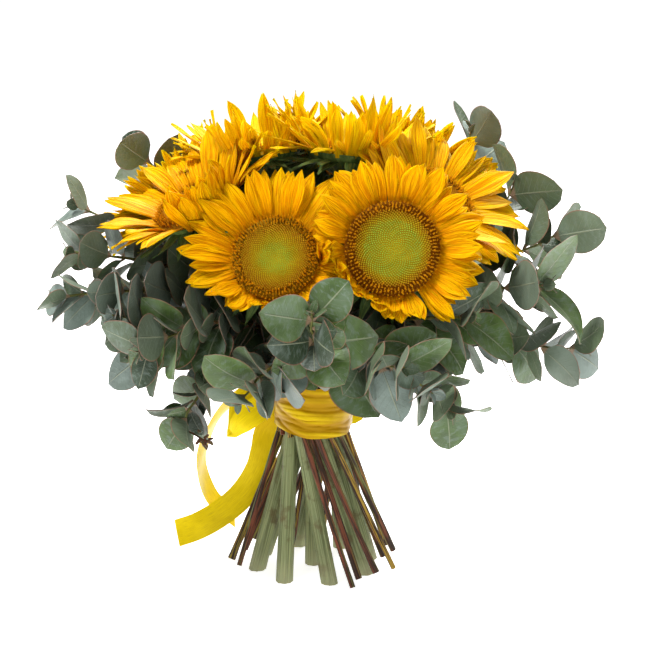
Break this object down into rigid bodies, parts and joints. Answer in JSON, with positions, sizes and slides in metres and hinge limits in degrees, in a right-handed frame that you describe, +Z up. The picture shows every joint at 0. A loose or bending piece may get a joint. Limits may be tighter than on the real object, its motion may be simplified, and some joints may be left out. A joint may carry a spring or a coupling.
{
  "type": "bunch of sunflowers",
  "caption": "Hand-tied spiral bunch of cut sunflowers in a collar of round-leaved eucalyptus, bound at the waist with a yellow ribbon and bow, standing on its cut stems.",
  "frame": {"origin": "middle of the central flower stem's cut end, on the surface that the bunch stands on", "axes": "+Z up along the bunch's axis, +X to the right across the bunch's widest spread of foliage, -Y the front, where the two lowest heads face"},
  "size_m": [0.4716, 0.3941, 0.4125],
  "materials": {
    "petal": "satin",
    "disc": "matte",
    "stem": "satin",
    "eucalyptus": "matte",
    "ribbon": "satin"
  },
  "bodies": {
    "root": {"disc_front_right": "disc", "disc_front_left": "disc", "disc_left": "disc", "disc_right": "disc", "disc_top_right": "disc", "disc_top_left": "disc", "disc_back_right": "disc", "disc_back_left": "disc", "disc_back": "disc", "petals_front_right": "petal", "petals_front_left": "petal", "petals_left": "petal", "petals_right": "petal", "petals_top_right": "petal", "petals_top_left": "petal", "petals_back_right": "petal", "petals_back_left": "petal", "petals_back": "petal", "stem_front_right": "stem", "stem_front_left": "stem", "stem_left": "stem", "stem_right": "stem", "stem_top_right": "stem", "stem_top_left": "stem", "stem_back_right": "stem", "stem_back_left": "stem", "stem_back": "stem", "ribbon_band": "ribbon", "ribbon_bow": "ribbon", "eucalyptus_01": "eucalyptus", "eucalyptus_02": "eucalyptus", "eucalyptus_03": "eucalyptus", "eucalyptus_04": "eucalyptus", "eucalyptus_05": "eucalyptus", "eucalyptus_06": "eucalyptus", "eucalyptus_07": "eucalyptus", "eucalyptus_08": "eucalyptus", "eucalyptus_09": "eucalyptus", "eucalyptus_10": "eucalyptus", "eucalyptus_11": "eucalyptus", "eucalyptus_12": "eucalyptus", "eucalyptus_13": "eucalyptus", "eucalyptus_14": "eucalyptus", "eucalyptus_15": "eucalyptus", "eucalyptus_16": "eucalyptus", "eucalyptus_17": "eucalyptus", "eucalyptus_18": "eucalyptus", "eucalyptus_19": "eucalyptus", "eucalyptus_20": "eucalyptus", "eucalyptus_21": "eucalyptus", "eucalyptus_22": "eucalyptus", "eucalyptus_23": "eucalyptus", "eucalyptus_24": "eucalyptus", "eucalyptus_25": "eucalyptus"}
  },
  "joints": []
}
